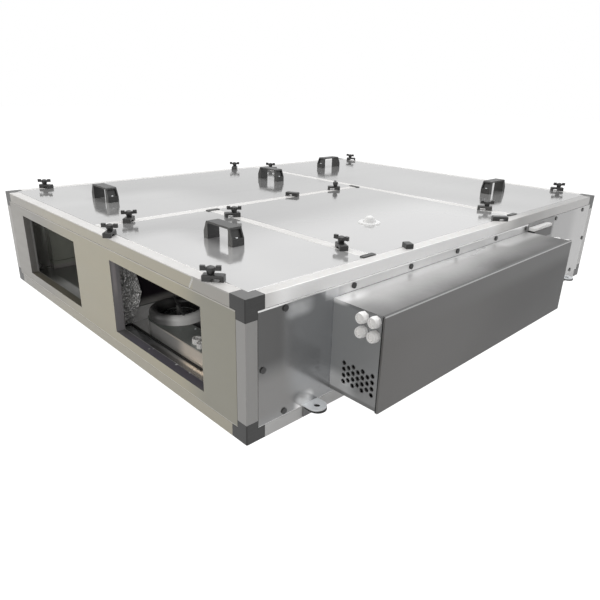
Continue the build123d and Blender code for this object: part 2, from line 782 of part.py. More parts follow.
with BuildPart() as impeller:
    with BuildSketch(Plane.XY.offset(impeller_z)):
        with Locations((fan_x, fan_y)):
            Circle(impeller_radius)
            Circle(shaft_radius + shaft_clearance, mode=Mode.SUBTRACT)
    extrude(amount=impeller_plate)
    with BuildSketch(Plane.XY.offset(impeller_z)):
        with Locations((fan_x, fan_y)):
            Circle(boss_radius)
            Circle(shaft_radius + shaft_clearance, mode=Mode.SUBTRACT)
    extrude(amount=boss_height)
    with BuildSketch(Plane.XY.offset(impeller_z)):
        with Locations((fan_x, fan_y)):
            with PolarLocations(impeller_radius - blade_depth / 2, blade_count):
                with Locations(Location((0, 0, 0), (0, 0, blade_turn))):
                    SlotOverall(blade_depth, blade_thickness)
    extrude(amount=impeller_height)
    with BuildSketch(Plane.XY.offset(impeller_z + impeller_height - impeller_plate)):
        with Locations((fan_x, fan_y)):
            Circle(impeller_radius)
            Circle(impeller_radius - impeller_ring_width, mode=Mode.SUBTRACT)
    extrude(amount=impeller_plate)
save(impeller, "impeller_front")
save(turned(impeller), "impeller_back")

# Black gasket on the floor along the scroll's foot, with a short leg beside the foil
gasket_x = foil_x + foil_thickness + joint_gap
gasket_y = scroll_front_y - joint_gap
with BuildPart() as floor_gaskets:
    with Locations((gasket_x, gasket_y, floor_z)):
        Box(gasket_length, gasket_width, gasket_height, align=(Align.MIN, Align.MAX, Align.MIN))
        Box(gasket_width, gasket_leg_length, gasket_height, align=(Align.MIN, Align.MAX, Align.MIN))
    add(floor_gaskets.part.rotate(Axis.Z, 180))
save(floor_gaskets, "floor_gaskets")
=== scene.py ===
import json
import math

import bmesh
import bpy
from mathutils import Matrix, Vector, noise


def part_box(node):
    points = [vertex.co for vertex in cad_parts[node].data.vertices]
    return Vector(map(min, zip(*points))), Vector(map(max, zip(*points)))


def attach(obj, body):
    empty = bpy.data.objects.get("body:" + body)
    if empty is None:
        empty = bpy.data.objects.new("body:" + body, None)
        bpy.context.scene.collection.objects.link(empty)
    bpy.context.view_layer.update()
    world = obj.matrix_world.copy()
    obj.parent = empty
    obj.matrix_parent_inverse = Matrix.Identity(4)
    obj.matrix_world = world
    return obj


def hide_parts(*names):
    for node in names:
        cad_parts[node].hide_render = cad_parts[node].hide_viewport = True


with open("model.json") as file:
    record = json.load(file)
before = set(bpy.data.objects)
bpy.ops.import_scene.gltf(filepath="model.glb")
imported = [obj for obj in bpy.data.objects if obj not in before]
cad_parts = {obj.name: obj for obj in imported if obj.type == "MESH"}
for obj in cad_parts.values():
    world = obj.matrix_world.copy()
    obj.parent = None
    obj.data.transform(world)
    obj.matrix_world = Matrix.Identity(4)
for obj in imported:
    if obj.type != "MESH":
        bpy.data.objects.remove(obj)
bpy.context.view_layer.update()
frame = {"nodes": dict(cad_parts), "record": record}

# Camera: the view of the photograph, solved from the casing's corners
camera_place = Vector((1.39873, -1.41569, 0.68494))
camera_azimuth = math.radians(45.95)
camera_elevation = math.radians(21.54)
camera_roll = math.radians(1.50)
camera_lens = 32.604
sensor_width = 36.0
camera_clip_end = 60


def aim_camera():
    """Camera at the photograph's place, with its small roll."""
    back = Vector((
        math.sin(camera_azimuth) * math.cos(camera_elevation),
        -math.cos(camera_azimuth) * math.cos(camera_elevation),
        math.sin(camera_elevation),
    ))
    level_right = Vector((0, 0, 1)).cross(back).normalized()
    level_up = back.cross(level_right)
    right = math.cos(camera_roll) * level_right + math.sin(camera_roll) * level_up
    up = -math.sin(camera_roll) * level_right + math.cos(camera_roll) * level_up
    data = bpy.data.cameras.new("view_camera")
    data.lens = camera_lens
    data.sensor_width = sensor_width
    data.clip_end = camera_clip_end
    camera = bpy.data.objects.new("view_camera", data)
    turn = Matrix((right, up, back)).transposed()
    camera.matrix_world = Matrix.Translation(camera_place) @ turn.to_4x4()
    bpy.context.scene.collection.objects.link(camera)
    bpy.context.scene.camera = camera


# Shader node groups shared by the finishes
def shader_group(name, inputs, outputs):
    """New node group with named sockets, each input as (name, kind, default)."""
    tree = bpy.data.node_groups.new(name, "ShaderNodeTree")
    for label, kind, value in inputs:
        socket = tree.interface.new_socket(label, in_out="INPUT", socket_type=kind)
        socket.default_value = value
    for label, kind in outputs:
        tree.interface.new_socket(label, in_out="OUTPUT", socket_type=kind)
    entry = tree.nodes.new("NodeGroupInput")
    result = tree.nodes.new("NodeGroupOutput")
    return tree, entry.outputs, result.inputs


def add_node(tree, kind, inputs=None, **settings):
    """New node with settings and input values; an input that is a socket gets linked."""
    node = tree.nodes.new(kind)
    for key, value in settings.items():
        setattr(node, key, value)
    for key, value in (inputs or {}).items():
        if isinstance(value, bpy.types.NodeSocket):
            tree.links.new(value, node.inputs[key])
        else:
            node.inputs[key].default_value = value
    return node


def math_node(tree, operation, first, second, third=None):
    """Result of a sum, product or comparison of values or sockets."""
    inputs = {0: first, 1: second}
    if third is not None:
        inputs[2] = third
    return add_node(tree, "ShaderNodeMath", inputs, operation=operation).outputs[0]


def vector_node(tree, operation, first, second, output="Vector"):
    """Result of an operation on two vectors: a vector, or a number at the output Value."""
    node = add_node(tree, "ShaderNodeVectorMath", {0: first, 1: second}, operation=operation)
    return node.outputs[output]


def ramp(tree, value, low, high):
    """0 up to low, 1 from high on, straight between them."""
    inputs = {"Value": value, "From Min": low, "From Max": high}
    return add_node(tree, "ShaderNodeMapRange", inputs).outputs[0]


def mix_colours(tree, factor, first, second):
    """First colour at factor 0, second at factor 1."""
    return add_node(tree, "ShaderNodeMix", {0: factor, 6: first, 7: second}, data_type="RGBA").outputs[2]


def stretched_noise(tree, place, stretch, scale, detail):
    """Noise value on a position that is squeezed along some axes."""
    squeezed = vector_node(tree, "MULTIPLY", place, stretch)
    inputs = {"Vector": squeezed, "Scale": scale, "Detail": detail}
    return add_node(tree, "ShaderNodeTexNoise", inputs).outputs[0]


# Zinc coated sheet: shares of streaks, clouds and crystals in the tone, roughness and height
cloud_squeeze = (1, 1, 1.6)
cloud_detail = 3.0
cloud_low, cloud_high = 0.35, 0.65
cloud_share = 0.55
streak_detail = 4.0
streak_share = 0.7
wave_drop = 0.12
crystals_per_metre = 90.0
crystal_height_share = 0.3
streak_roughness = 0.22
facing_limit = 0.7


def make_zinc_group():
    """Zinc coated sheet: clouds, streaks, faint crystals, a slope of tone, another tone on other faces."""
    tree, given, out = shader_group(
        "zinc_sheet",
        [
            ("Place", "NodeSocketVector", (0, 0, 0)),
            ("Colour", "NodeSocketColor", (0.5, 0.5, 0.5, 1)),
            ("Shade", "NodeSocketColor", (0.4, 0.4, 0.4, 1)),
            ("Streak Stretch", "NodeSocketVector", (1, 1, 1)),
            ("Cloud Scale", "NodeSocketFloat", 2.0),
            ("Streak Scale", "NodeSocketFloat", 20.0),
            ("Crystal Amount", "NodeSocketFloat", 0.1),
            ("Roughness", "NodeSocketFloat", 0.3),
            ("Slope", "NodeSocketVector", (0, 0, 0)),
            ("Slope Start", "NodeSocketFloat", 0.0),
            ("Face Axis", "NodeSocketVector", (0, 0, 0)),
            ("Other Faces", "NodeSocketColor", (0.5, 0.5, 0.5, 1)),
        ],
        [("Colour", "NodeSocketColor"), ("Roughness", "NodeSocketFloat"), ("Height", "NodeSocketFloat")],
    )
    place = given["Place"]
    cloud = stretched_noise(tree, place, cloud_squeeze, given["Cloud Scale"], cloud_detail)
    lines = stretched_noise(tree, place, given["Streak Stretch"], given["Streak Scale"], streak_detail)
    crystals = add_node(tree, "ShaderNodeTexVoronoi", {"Vector": place, "Scale": crystals_per_metre})
    crystal_value = math_node(tree, "SUBTRACT", crystals.outputs["Color"], 0.5)
    spread = math_node(tree, "MULTIPLY", ramp(tree, cloud, cloud_low, cloud_high), cloud_share)
    slope = vector_node(tree, "DOT_PRODUCT", place, given["Slope"], "Value")
    wave = math_node(tree, "MULTIPLY_ADD", lines, streak_share, spread)
    wave = math_node(tree, "SUBTRACT", wave, wave_drop)
    wave = math_node(tree, "MULTIPLY_ADD", crystal_value, given["Crystal Amount"], wave)
    wave = math_node(tree, "ADD", wave, math_node(tree, "ADD", slope, given["Slope Start"]))
    shade = add_node(tree, "ShaderNodeClamp", {"Value": wave}).outputs[0]
    toned = mix_colours(tree, shade, given["Shade"], given["Colour"])
    facing = add_node(tree, "ShaderNodeNewGeometry").outputs["Normal"]
    along = vector_node(tree, "DOT_PRODUCT", facing, given["Face Axis"], "Value")
    on_face = math_node(tree, "GREATER_THAN", math_node(tree, "ABSOLUTE", along, 0.0), facing_limit)
    axis_length = vector_node(tree, "LENGTH", given["Face Axis"], (0, 0, 0), "Value")
    no_axis = math_node(tree, "LESS_THAN", axis_length, 0.5)
    main_face = math_node(tree, "MAXIMUM", on_face, no_axis)
    tree.links.new(mix_colours(tree, main_face, given["Other Faces"], toned), out["Colour"])
    centred = math_node(tree, "SUBTRACT", lines, 0.5)
    rough = math_node(tree, "MULTIPLY_ADD", centred, streak_roughness, given["Roughness"])
    tree.links.new(rough, out["Roughness"])
    height = math_node(tree, "MULTIPLY_ADD", crystal_value, crystal_height_share, lines)
    tree.links.new(height, out["Height"])
    return tree


# Moulded or cast surface: scuffs and their part in the roughness
scuff_squeeze = (3.0, 1.0, 6.0)
scuffs_per_metre = 60.0
scuff_detail = 5.0
scuff_low, scuff_high = 0.55, 0.8
scuff_roughness = 0.12
grain_detail = 2.0


def make_grain_group():
    """Moulded or cast surface: fine grain and scuffs of another tone."""
    tree, given, out = shader_group(
        "fine_grain",
        [
            ("Place", "NodeSocketVector", (0, 0, 0)),
            ("Colour", "NodeSocketColor", (0.1, 0.1, 0.1, 1)),
            ("Scuff", "NodeSocketColor", (0.3, 0.3, 0.3, 1)),
            ("Scuff Amount", "NodeSocketFloat", 0.3),
            ("Grain Scale", "NodeSocketFloat", 1500.0),
            ("Roughness", "NodeSocketFloat", 0.5),
        ],
        [("Colour", "NodeSocketColor"), ("Roughness", "NodeSocketFloat"), ("Height", "NodeSocketFloat")],
    )
    place = given["Place"]
    grain = stretched_noise(tree, place, (1, 1, 1), given["Grain Scale"], grain_detail)
    scuffs = stretched_noise(tree, place, scuff_squeeze, scuffs_per_metre, scuff_detail)
    mask = math_node(tree, "MULTIPLY", ramp(tree, scuffs, scuff_low, scuff_high), given["Scuff Amount"])
    tree.links.new(mix_colours(tree, mask, given["Colour"], given["Scuff"]), out["Colour"])
    rough = math_node(tree, "MULTIPLY_ADD", scuffs, scuff_roughness, given["Roughness"])
    tree.links.new(rough, out["Roughness"])
    tree.links.new(grain, out["Height"])
    return tree


def make_zone_group():
    """Mask of a box in space, 1 inside and falling to 0 over a soft margin outside."""
    tree, given, out = shader_group(
        "soft_zone",
        [
            ("Place", "NodeSocketVector", (0, 0, 0)),
            ("Low", "NodeSocketVector", (0, 0, 0)),
            ("High", "NodeSocketVector", (0, 0, 0)),
            ("Margin", "NodeSocketVector", (0.01, 0.01, 0.01)),
            ("Amount", "NodeSocketFloat", 1.0),
        ],
        [("Mask", "NodeSocketFloat")],
    )
    below = vector_node(tree, "SUBTRACT", given["Low"], given["Place"])
    above = vector_node(tree, "SUBTRACT", given["Place"], given["High"])
    outside = vector_node(tree, "MAXIMUM", vector_node(tree, "MAXIMUM", below, above), (0, 0, 0))
    share = vector_node(tree, "DIVIDE", outside, given["Margin"])
    far = vector_node(tree, "LENGTH", share, (0, 0, 0), "Value")
    falling = {"Value": far, "From Min": 1.0, "From Max": 0.0}
    mask = add_node(tree, "ShaderNodeMapRange", falling, interpolation_type="SMOOTHSTEP").outputs[0]
    tree.links.new(math_node(tree, "MULTIPLY", mask, given["Amount"]), out["Mask"])
    return tree


# Finishes made from the groups
bump_height = 0.0002
sheet_bump_strength = 0.25
moulded_bump_strength = 0.3
zinc_group = make_zinc_group()
grain_group = make_grain_group()
zone_group = make_zone_group()


def zone_mask(tree, place, low, high, margin, amount):
    """Mask of a soft zone at the place."""
    inputs = {"Place": place, "Low": low, "High": high, "Margin": margin, "Amount": amount}
    return add_node(tree, "ShaderNodeGroup", inputs, node_tree=zone_group).outputs["Mask"]


def finish_with(name, group, values, metallic, bump_strength, zones=(), polish=None, **levels):
    """Material with colour, roughness and bump from a group, and other tones and polish in some zones."""
    material = bpy.data.materials.new(name)
    material.use_nodes = True
    tree = material.node_tree
    tree.nodes.clear()
    place = add_node(tree, "ShaderNodeTexCoord").outputs["Object"]
    effect = add_node(tree, "ShaderNodeGroup", node_tree=group)
    tree.links.new(place, effect.inputs["Place"])
    for key, value in values.items():
        effect.inputs[key].default_value = value
    colour = effect.outputs["Colour"]
    for low, high, margin, tone, amount in zones:
        colour = mix_colours(tree, zone_mask(tree, place, low, high, margin, amount), colour, tone)
    if polish:
        metallic = math_node(tree, "ADD", zone_mask(tree, place, *polish), metallic)
    bump = add_node(tree, "ShaderNodeBump", {
        "Height": effect.outputs["Height"], "Distance": bump_height, "Strength": bump_strength,
    })
    shader = add_node(tree, "ShaderNodeBsdfPrincipled", {
        "Base Color": colour, "Roughness": effect.outputs["Roughness"],
        "Normal": bump.outputs[0], "Metallic": metallic,
    })
    for key, value in levels.items():
        shader.inputs[key.replace("_", " ")].default_value = value
    surface = add_node(tree, "ShaderNodeOutputMaterial")
    tree.links.new(shader.outputs[0], surface.inputs[0])
    return material


def tint(red, green, blue):
    """Colour at full strength."""
    return (red, green, blue, 1.0)


def grey(level, warmth=0.0):
    """Grey of a level, redder and less blue by the warmth, or bluer where that is negative."""
    return tint(level * (1 + warmth), level, level * (1 - warmth))


warm_green_share = 0.92
warm_blue_share = 0.68


def warm_grey(level):
    """Yellowish grey of the end panels and their rails."""
    return tint(level, level * warm_green_share, level * warm_blue_share)


def zinc_sheet(
    name, colour, shade, *, stretch=(1, 1, 1), metallic, roughness, cloud, streak, crystals, zones=(),
    polish=None, specular=0.5, **more,
):
    """Sheet metal between two tones; more are the inputs of the zinc group that few sheets use."""
    values = {
        "Colour": colour, "Shade": shade, "Streak Stretch": stretch, "Cloud Scale": cloud,
        "Streak Scale": streak, "Crystal Amount": crystals, "Roughness": roughness,
    }
    values.update({key.replace("_", " "): value for key, value in more.items()})
    return finish_with(
        name, zinc_group, values, metallic, sheet_bump_strength, zones, polish, Specular_IOR_Level=specular)


def moulded(name, colour, scuff, amount, roughness, metallic=0.0, grain=1500.0, zones=(), **levels):
    """Plastic, rubber or coated surface with scuffs of another tone by an amount."""
    values = {
        "Colour": colour, "Scuff": scuff, "Scuff Amount": amount,
        "Roughness": roughness, "Grain Scale": grain,
    }
    return finish_with(name, grain_group, values, metallic, moulded_bump_strength, zones, **levels)


# Ranges that the zones share, in metres along x, y or z
whole_width = (-0.70, 0.70)
whole_length = (-0.86, 0.86)
front_face = (-0.86, -0.8494)
back_face = (0.8494, 0.86)
right_side = (0.66, 0.68)
right_rail_face = (0.6692, 0.68)
top_rail = (0.29, 0.316)
bottom_rail = (0.0, 0.031)
post_height = (0.04, 0.28)
lids = (0.31, 0.33)
sill = (0.055, 0.0605)
floor_face = (0.029, 0.031)
deck = (0.0731, 0.0755)
ring_height = (0.07, 0.12)
box_top = (0.262, 0.27)
box_end = (-0.615, -0.605)
cover_face = (0.80, 0.82)
jamb = (0.10, 0.1115)
front_rail = (-0.70, 0.622)
left_posts = (-0.68, -0.64)
right_posts = (0.64, 0.68)
front_posts = (-0.86, -0.80)
back_posts = (0.80, 0.86)

# Soft margins that the zones share, along x, y and z
narrow_margin = (0.001, 0.001, 0.001)
rail_margin = (0.001, 0.0004, 0.002)
long_rail_margin = (0.45, 0.0004, 0.002)
post_margin = (0.002, 0.002, 0.01)
fold_margin = (0.001, 0.001, 0.0006)


def zone(x, y, z, margin, tone, amount):
    """Box of another tone: its ranges, the soft margin round it, the tone and its share at full strength."""
    low, high = zip(x, y, z)
    return low, high, margin, tone, amount


def shine(x, y, z, margin, amount):
    """Box whose sheet is more metallic by the amount, or less if that is negative."""
    low, high = zip(x, y, z)
    return low, high, margin, amount


# Painted highlights along the slanted joint in the front rail
joint_steps = 5
joint_x = 0.4840
joint_z = 0.2900
joint_low_z = 0.2902
joint_step_x = 0.0030
joint_step_z = 0.0050
joint_highlight_width = 0.0015
joint_highlight_height = 0.0060


def joint_highlights():
    """Short painted highlights, each beside and above the last."""
    highlight_zones = []
    for step in range(joint_steps):
        x = joint_x + step * joint_step_x
        z = joint_z + step * joint_step_z
        across = (x, x + joint_highlight_width)
        upright = (max(z, joint_low_z), z + joint_highlight_height)
        highlight_zones.append(zone(across, front_face, upright, (0.0022, 0.0004, 0.002), grey(0.66), 0.8))
    return highlight_zones


# Frame profiles
rail_zones = [
    # Painted shade on the front faces of the two front rails, as warm as the panel between them
    zone(front_rail, front_face, top_rail, rail_margin, warm_grey(0.40), 0.85),
    zone(front_rail, front_face, bottom_rail, rail_margin, warm_grey(0.36), 0.85),
    # Painted shade on the outer face of the right bottom rail, duller than the top one
    zone(right_rail_face, whole_length, bottom_rail, (0.0003, 0.01, 0.001), grey(0.58, 0.005), 0.9),
    # Front rail beyond its slanted joint, and painted highlights along the joint
    zone((0.5025, 0.622), front_face, (0.2902, 0.3195), (0.014, 0.0004, 0.001), grey(0.36, 0.02), 0.75),
    *joint_highlights(),
    # Painted shade on the far ends of the front rails and on both front posts, greyer than the rails' middle
    zone((-0.70, -0.60), front_face, top_rail, long_rail_margin, grey(0.33, 0.035), 0.8),
    zone((-0.70, -0.60), front_face, bottom_rail, long_rail_margin, grey(0.31, 0.03), 0.8),
    zone(left_posts, front_posts, post_height, post_margin, grey(0.33, 0.03), 0.85),
    zone(right_posts, front_posts, post_height, post_margin, grey(0.275, 0.015), 0.88),
    # Painted shade on the back rails and posts, as warm and as grey as on the front ones
    zone(whole_width, back_face, top_rail, rail_margin, warm_grey(0.38), 0.85),
    zone(whole_width, back_face, bottom_rail, rail_margin, warm_grey(0.36), 0.85),
    zone(left_posts, back_posts, post_height, post_margin, grey(0.36, 0.03), 0.85),
    zone(right_posts, back_posts, post_height, post_margin, grey(0.45, 0.01), 0.85),
    # Right rail: painted light on the outer face up to the middle and painted shade beyond it, painted shade
    # on the top towards the far end
    zone(right_rail_face, (-0.74, 0.05), (0.29, 0.32), (0.0003, 0.08, 0.001), grey(0.96), 1.0),
    zone(right_rail_face, (0.24, 0.45), (0.29, 0.32), (0.0003, 0.10, 0.001), grey(0.33, 0.01), 0.8),
    zone(right_rail_face, (0.45, 0.86), (0.29, 0.32), (0.0003, 0.08, 0.001), grey(0.48, 0.01), 0.75),
    zone((0.64, 0.6685), (0.35, 0.86), (0.3195, 0.322), (0.002, 0.25, 0.001), grey(0.32, 0.01), 0.9),
]


def satin_aluminium():
    """Natural extruded profiles, with painted light and more polish along the near part of the right top
    rail.
    """
    return zinc_sheet(
        "satin_aluminium", grey(0.74, 0.01), grey(0.60, 0.02), metallic=0.14, roughness=0.36,
        cloud=3.0, streak=60.0, crystals=0.02, zones=rail_zones,
        polish=shine((0.6694, 0.68), (-0.74, 0.10), (0.29, 0.32), (0.0003, 0.10, 0.001), 0.35))


# Corner pieces, handles, clamps and caps
corner_zones = [
    # Near corner pieces: painted shade on the front faces, painted light on the top
    zone((0.615, 0.69), (-0.87, -0.8490), (0.0, 0.3195), (0.002, 0.0004, 0.0004), grey(0.003), 0.9),
    zone((0.615, 0.69), (-0.87, -0.795), (0.3198, 0.3225), (0.002, 0.002, 0.0003), grey(0.12), 0.9),
]


def black_nylon():
    """Moulded nylon with pale scuffs."""
    return moulded("black_nylon", grey(0.020), grey(0.075), 0.42, 0.31, zones=corner_zones)


# End panels
front_zones = [
    # Painted shade, darker and greyer towards the far end and darker and greener beside the near post
    zone((-0.70, -0.42), (-0.86, -0.80), (0.0, 0.32), (0.34, 0.01, 0.10), grey(0.250, 0.035), 0.85),
    zone((0.54, 0.70), (-0.86, -0.849), (0.0, 0.32), (0.12, 0.01, 0.10), tint(0.28, 0.272, 0.228), 0.9),
    # Painted highlights on the folded edges along the top and the bottom
    zone(whole_width, (-0.86, -0.8470), (0.2872, 0.2895), fold_margin, grey(0.62, 0.02), 0.55),
    zone(whole_width, (-0.86, -0.8470), (0.0305, 0.0325), fold_margin, grey(0.66, 0.02), 0.7),
    # Painted light in a band down the left jamb of each front opening
    zone(jamb, (-0.8490, -0.8255), (0.05, 0.25), (0.001, 0.0009, 0.03), tint(0.36, 0.35, 0.37), 0.9),
    zone(jamb, (-0.8430, -0.8380), (0.20, 0.25), (0.001, 0.005, 0.07), tint(0.54, 0.51, 0.53), 0.9),
    zone((-0.54, -0.5205), (-0.8300, -0.8255), (0.06, 0.27), (0.001, 0.002, 0.03), grey(0.40), 0.8),
    # Bluish sill of the right opening, brown one of the left, both with a painted highlight along the inner
    # edge
    zone((0.20, 0.47), (-0.8490, -0.8250), sill, (0.10, 0.0009, 0.001), tint(0.155, 0.145, 0.18), 0.85),
    zone((-0.53, -0.10), (-0.8490, -0.8250), sill, (0.01, 0.0009, 0.001), tint(0.15, 0.135, 0.10), 0.8),
    zone((-0.53, 0.53), (-0.8262, -0.8240), sill, (0.01, 0.0012, 0.001), grey(0.50), 0.7),
    # Specks of dirt on the right opening's sill
    zone((0.2570, 0.2610), (-0.8380, -0.8345), sill, narrow_margin, grey(0.62), 0.9),
    zone((0.2640, 0.2675), (-0.8295, -0.8265), sill, narrow_margin, grey(0.55), 0.9),
    zone((0.3595, 0.3635), (-0.8250, -0.8205), sill, narrow_margin, grey(0.85), 0.95),
    zone((0.3725, 0.3765), (-0.8310, -0.8255), sill, narrow_margin, grey(0.90), 0.95),
    zone((0.4275, 0.4315), (-0.8280, -0.8240), sill, narrow_margin, grey(0.80), 0.9),
]


def front_sheet():
    """Warm grey sheet of the end panels, plain grey on the cut edges of the openings."""
    return zinc_sheet(
        "front_sheet", warm_grey(0.45), warm_grey(0.36), stretch=(0.6, 1, 3.0), metallic=0.16, roughness=0.34,
        cloud=1.5, streak=12.0, crystals=0.04, zones=front_zones,
        Face_Axis=(0, 1, 0), Other_Faces=grey(0.17, 0.01))


# Side panels and floor
side_zones = [
    # Painted reflection of the box's top on the strip over the control box, dimmer towards the far end
    zone(right_side, (-0.628, -0.25), (0.2665, 0.30), (0.001, 0.008, 0.002), grey(0.72), 0.95),
    zone(right_side, (-0.25, 0.28), (0.2665, 0.30), (0.001, 0.04, 0.002), grey(0.66), 0.9),
    zone(right_side, (-0.632, -0.60), (0.2640, 0.286), (0.001, 0.008, 0.003), grey(1.0), 0.95),
    # Painted shade on the far part of the panel, paler at its end
    zone(right_side, (0.45, 0.86), (0.0, 0.30), (0.001, 0.22, 0.02), grey(0.32, 0.005), 0.85),
    zone(right_side, (0.72, 0.86), (0.0, 0.30), (0.001, 0.08, 0.02), grey(0.46, 0.005), 0.8),
    # Before the control box: painted shade on the lower part and darker on the upper part, painted light
    # beside the box
    zone(right_side, (-0.86, -0.74), (0.06, 0.13), (0.001, 0.06, 0.05), grey(0.225, 0.02), 0.8),
    zone(right_side, (-0.86, -0.77), (0.18, 0.30), (0.001, 0.07, 0.06), grey(0.075, 0.01), 0.9),
    zone(right_side, (-0.70, -0.612), (0.11, 0.262), (0.001, 0.06, 0.06), grey(0.35, -0.03), 0.85),
    # Painted reflection of the lug as a bright spot over it, and a painted highlight under the top rail
    zone(right_side, (-0.702, -0.680), (0.030, 0.046), (0.001, 0.024, 0.026), grey(1.0), 1.0),
    zone(right_side, (-0.725, -0.690), (0.262, 0.275), (0.001, 0.03, 0.020), grey(0.75, -0.02), 0.8),
    # Painted highlights on the folded edges under the top rail and above the bottom one
    zone(right_side, (-0.82, 0.30), (0.2862, 0.2896), (0.001, 0.20, 0.0006), grey(0.95), 0.9),
    zone(right_side, (-0.82, 0.82), (0.0300, 0.0318), fold_margin, grey(0.95), 0.85),
    # Inner faces of the left panel, painted near white as light in the shaded chamber, and of the floor, seen
    # through the openings
    zone((-0.6448, -0.60), (-0.83, 0.83), (0.0, 0.32), (0.0003, 0.001, 0.001), tint(1.0, 1.0, 0.92), 1.0),
    zone((-0.64, 0.64), (-0.83, 0.83), floor_face, narrow_margin, grey(0.34, 0.01), 1.0),
    # Floor beside the sills, painted light and reflections: bright zinc strip in the left chamber, dark band
    # in the right one with a painted warm highlight at its end, painted light on the shaded floor behind
    zone((-0.40, -0.10), (-0.822, -0.766), floor_face, (0.16, 0.010, 0.001), grey(1.0, -0.01), 0.95),
    zone((0.00, 0.16), (-0.83, -0.766), floor_face, (0.04, 0.002, 0.001), grey(0.36, -0.02), 0.92),
    zone((0.20, 0.55), (-0.83, -0.788), floor_face, (0.03, 0.008, 0.001), grey(0.13, 0.03), 0.9),
    zone((0.36, 0.55), (-0.781, -0.768), floor_face, (0.06, 0.006, 0.001), tint(0.95, 0.84, 0.72), 0.9),
    zone((0.00, 0.35), (-0.76, -0.35), floor_face, (0.02, 0.004, 0.001), grey(1.0), 0.95),
]


def side_sheet():
    """Glossy zinc sheet, with painted light growing paler towards the far end, dulled on the strip in the
    left chamber.
    """
    return zinc_sheet(
        "side_sheet", grey(0.40, -0.01), grey(0.28, -0.02), stretch=(1, 0.5, 1.0), metallic=0.45,
        roughness=0.18, cloud=3.2, streak=5.0, crystals=0.14, zones=side_zones,
        polish=shine((-0.40, -0.10), (-0.822, -0.766), floor_face, (0.16, 0.010, 0.001), -0.42),
        Slope=(0, 0.4, 0), Slope_Start=0.05)


# Access panels and service port
top_zones = [
    # Painted shade on the left panel
    zone((-0.66, -0.30), (-0.70, 0.30), lids, (0.30, 0.20, 0.01), grey(0.305), 0.7),
    # Painted light on the front right corner, the right edge and the front left corner
    zone((0.20, 0.66), (-0.86, -0.74), lids, (0.10, 0.12, 0.01), grey(0.62), 0.8),
    zone((0.44, 0.64), (-0.70, 0.10), lids, (0.28, 0.30, 0.01), grey(0.66), 0.8),
    zone((-0.60, -0.35), (-0.86, -0.66), lids, (0.10, 0.12, 0.01), grey(0.50), 0.7),
    # Painted shade on the back edge and the back left part, painted light on the front edge left of its
    # middle
    zone((-0.66, 0.66), (0.74, 0.86), lids, (0.30, 0.25, 0.01), grey(0.33), 0.7),
    zone((-0.30, -0.05), (-0.86, -0.50), lids, (0.16, 0.25, 0.01), grey(0.54), 0.7),
    zone((-0.66, -0.20), (0.27, 0.86), lids, (0.25, 0.04, 0.01), grey(0.34), 0.7),
]


def top_sheet():
    """Bright rolled sheet with long streaks, with painted light paler towards the right."""
    return zinc_sheet(
        "top_sheet", grey(0.43), grey(0.36), stretch=(6.0, 0.35, 1), metallic=0.55, roughness=0.11,
        cloud=1.2, streak=5.0, crystals=0.02, zones=top_zones, Slope=(0.5, 0, 0))


def port_plastic():
    """Glossy off-white plastic."""
    return moulded("port_plastic", grey(0.75), grey(0.55), 0.3, 0.18, grain=600.0, Coat_Weight=0.4)


# Control box, its cover and its glands
box_zones = [
    # Top: painted light along the panel, most of all at its near end, and painted shade at both outer corners
    zone((0.665, 0.680), (-0.62, 0.05), box_top, (0.03, 0.20, 0.01), grey(0.72), 0.6),
    zone((0.66, 0.81), (0.22, 0.31), box_top, (0.10, 0.32, 0.01), grey(0.10), 0.25),
    zone((0.665, 0.70), (0.10, 0.31), box_top, (0.03, 0.05, 0.01), grey(0.80), 0.5),
    zone((0.77, 0.81), (0.26, 0.31), box_top, (0.03, 0.07, 0.01), grey(0.02), 0.6),
    zone((0.75, 0.81), (-0.62, -0.60), box_top, (0.05, 0.09, 0.01), grey(0.08), 0.5),
    zone((0.665, 0.69), (-0.62, -0.57), box_top, (0.03, 0.06, 0.01), grey(1.0), 0.8),
    # Front end: painted reflection on the lower left corner, painted shade on the lower right one and on the
    # foot
    zone((0.66, 0.71), box_end, (0.050, 0.075), (0.06, 0.01, 0.035), grey(0.72, -0.01), 0.9),
    zone((0.76, 0.81), box_end, (0.04, 0.085), (0.04, 0.01, 0.05), grey(0.24), 0.7),
    zone((0.66, 0.81), box_end, (0.03, 0.050), (0.01, 0.01, 0.006), grey(0.16), 0.8),
]
cover_zones = [
    # Painted shade towards the far end; painted light in a band under the top edge
    zone(cover_face, (0.28, 0.32), (0.0, 0.262), (0.01, 0.85, 0.3), grey(0.012, 0.02), 0.92),
    zone(cover_face, (-0.62, 0.31), (0.240, 0.262), (0.01, 0.01, 0.05), grey(0.16), 0.5),
    # Lip on the box's top with a painted highlight on its thin bent edge, dark gap down the front end
    zone((0.800, 0.8105), (-0.62, 0.31), (0.2650, 0.268), (0.0005, 0.001, 0.0006), grey(0.09), 0.95),
    zone((0.8108, 0.813), (-0.62, 0.31), (0.2630, 0.268), (0.0004, 0.001, 0.0006), grey(0.52), 0.95),
    zone((0.802, 0.8065), (-0.62, -0.6110), (0.04, 0.262), (0.0006, 0.0010, 0.002), grey(0.015), 1.0),
]


def box_sheet():
    """Sheet of the box: painted light and shade on its top, from pale at the panel to dark at the outer edge.
    """
    return zinc_sheet(
        "box_sheet", grey(0.46, 0.005), grey(0.03, 0.02), stretch=(1, 0.4, 1.0), metallic=0.30,
        roughness=0.30, cloud=1.6, streak=4.0, crystals=0.05, zones=box_zones, specular=0.25,
        Slope=(-8.7, 0, 0), Slope_Start=6.597, Face_Axis=(0, 0, 1), Other_Faces=grey(0.33, -0.02))


